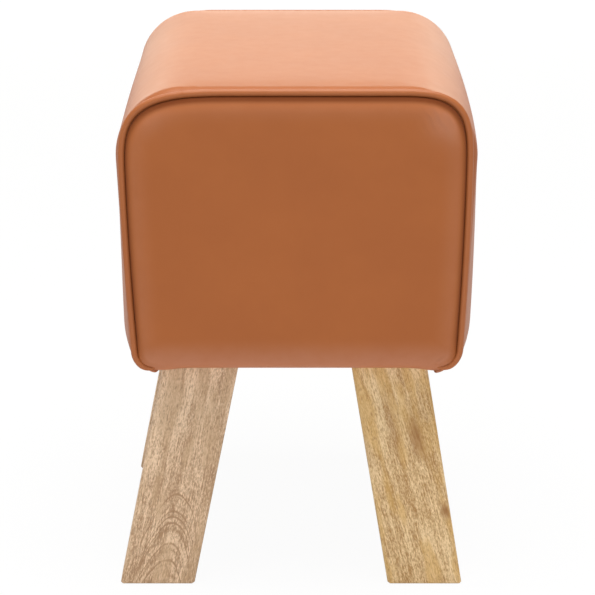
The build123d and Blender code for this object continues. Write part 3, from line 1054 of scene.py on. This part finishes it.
# Centre and reach, both across and along, and strength of each mark on the front right leg
right_marks = [
    (0.020, 0.035, 0.009, 0.030, 0.95),
    (0.024, -0.042, 0.006, 0.014, 0.95),
    (0.0, 0.05, 0.012, 0.045, 0.3),
    (-0.026, 0.03, 0.006, 0.05, 0.35),
]
finishes = {
    "front_left_leg": wood(
        "wood left front",
        (left_leg_x, -leg_y, leg_z),
        left_lean,
        grain=(0.0025, -0.004, 0.8, 0.0),
        tones=left_tones,
        arches=clear_arches,
    ),
    "rear_left_leg": wood(
        "wood left rear",
        (left_leg_x, leg_y, leg_z),
        left_lean,
        grain=(0.01, 0.05, 0.6, 0.3),
        tones=left_tones,
    ),
    "front_right_leg": wood(
        "wood right front",
        (right_leg_x, -leg_y, leg_z),
        -right_lean - right_grain_lean,
        grain=(0.03, 0.06, 0.35, 0.6),
        tones=right_tones,
        marks=right_marks,
    ),
    "rear_right_leg": wood(
        "wood right rear",
        (right_leg_x, leg_y, leg_z),
        -right_lean,
        grain=(-0.02, 0.08, 0.5, 0.8),
        tones=right_tones,
    ),
    "leg_bolts": zinc,
    "tee_nuts": zinc,
    "frame_screws": zinc,
    "staples": galvanised,
}
for node in ("base_board", "top_board", "left_side_board", "right_side_board"):
    finishes[node] = pine
for node in ("front_end_board", "rear_end_board", "centre_rib", "front_leg_batten", "rear_leg_batten"):
    finishes[node] = pine_across
for node, finish in finishes.items():
    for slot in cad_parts[node].material_slots:
        slot.material = finish

# Camera, light and floor

# The camera as it was fitted to the photograph
photo_width = 595                # in pixels
focal_length = 2550              # in pixels
sensor_width = 36                # in millimetres
camera_pitch = math.radians(16.03)
camera_y = -2.2725
camera_z = 0.8673
camera_data = bpy.data.cameras.new("camera")
camera_data.lens = sensor_width * focal_length / photo_width
camera_data.sensor_width = sensor_width
camera_data.clip_start = 0.1
camera_data.clip_end = 100
camera = bpy.data.objects.new("camera", camera_data)
camera.location = (0, camera_y, camera_z)
camera.rotation_euler = (math.pi / 2 - camera_pitch, 0, 0)
bpy.context.scene.collection.objects.link(camera)
bpy.context.scene.camera = camera
bpy.context.scene.view_settings.view_transform = "Standard"


def lamp(name, place, aim, size, radiance, colour=(1, 1, 1)):
    """A soft lamp, width by height, at a place and turned to face a point."""
    light = bpy.data.lights.new(name, "AREA")
    light.shape = "RECTANGLE"
    light.color = colour
    light.size, light.size_y = size
    light.energy = radiance * math.pi * size[0] * size[1]
    made = bpy.data.objects.new(name, light)
    made.location = place
    away = np.array(place, float) - np.array(aim, float)
    flat = math.hypot(away[0], away[1])
    made.rotation_euler = (math.atan2(flat, away[2]), 0, math.atan2(away[0], -away[1]))
    made.visible_camera = False
    bpy.context.scene.collection.objects.link(made)


lamp("overhead", place=(0, -0.3, 2.6), aim=(0, 0, 0.3), size=(2.2, 2.0), radiance=4.95)
lamp("rear", place=(0, 3.3, 0.75), aim=(0, 0, 0.6), size=(2.3, 1.3), radiance=2.95, colour=(1, 0.98, 0.8))
lamp("front", place=(0, -3.2, 0.75), aim=(0, 0, 0.3), size=(2.4, 1.4), radiance=1.0)


def through_rays(tree, *kinds):
    """A socket that is 1 for the camera and the other kinds of ray, and 0 for the rest."""
    path = tree.nodes.new("ShaderNodeLightPath")
    seen = path.outputs["Is Camera Ray"]
    for kind in kinds:
        either = tree.nodes.new("ShaderNodeMath")
        either.operation = "MAXIMUM"
        tree.links.new(seen, either.inputs[0])
        tree.links.new(path.outputs[kind], either.inputs[1])
        seen = either.outputs[0]
    return seen


def between(tree, factor, low, high):
    """A socket that goes from low to high with a factor."""
    span = tree.nodes.new("ShaderNodeMapRange")
    tree.links.new(factor, span.inputs[0])
    span.inputs[3].default_value = low
    span.inputs[4].default_value = high
    return span.outputs[0]


world_light = 0.42               # how strongly the world lights the bench
world_seen = 1.0                 # how white it looks
floor_seen = 0.95                # how much of the floor's look is plain white
floor_colour = (0.9, 0.9, 0.9, 1)
floor_reach = 15.0
floor_level = -0.3 * MM

world = bpy.data.worlds.new("studio")
bpy.context.scene.world = world
world.use_nodes = True
background = world.node_tree.nodes["Background"]
seen = through_rays(world.node_tree, "Is Glossy Ray", "Is Transmission Ray")
brightness = between(world.node_tree, seen, world_light, world_seen)
world.node_tree.links.new(brightness, background.inputs["Strength"])
background.inputs["Color"].default_value = (1, 1, 1, 1)

floor_paint = bpy.data.materials.new("studio floor")
floor_paint.use_nodes = True
tree = floor_paint.node_tree
tree.nodes.clear()
matt = tree.nodes.new("ShaderNodeBsdfDiffuse")
matt.inputs["Color"].default_value = floor_colour
white = tree.nodes.new("ShaderNodeEmission")
paint = tree.nodes.new("ShaderNodeMixShader")
seen = through_rays(tree, "Is Glossy Ray", "Is Transmission Ray")
tree.links.new(between(tree, seen, 0.0, floor_seen), paint.inputs[0])
tree.links.new(matt.outputs[0], paint.inputs[1])
tree.links.new(white.outputs[0], paint.inputs[2])
from_below = tree.nodes.new("ShaderNodeMixShader")
geometry = tree.nodes.new("ShaderNodeNewGeometry")
tree.links.new(geometry.outputs["Backfacing"], from_below.inputs[0])
tree.links.new(paint.outputs[0], from_below.inputs[1])
clear = tree.nodes.new("ShaderNodeBsdfTransparent")
tree.links.new(clear.outputs[0], from_below.inputs[2])
floor_output = tree.nodes.new("ShaderNodeOutputMaterial")
tree.links.new(from_below.outputs[0], floor_output.inputs[0])

floor_mesh = bpy.data.meshes.new("floor")
corners = [
    (x * floor_reach, y * floor_reach, floor_level)
    for x, y in ((-1, -1), (1, -1), (1, 1), (-1, 1))
]
floor_mesh.from_pydata(corners, [], [(0, 1, 2, 3)])
floor_mesh.materials.append(floor_paint)
floor = bpy.data.objects.new("floor", floor_mesh)
bpy.context.scene.collection.objects.link(floor)
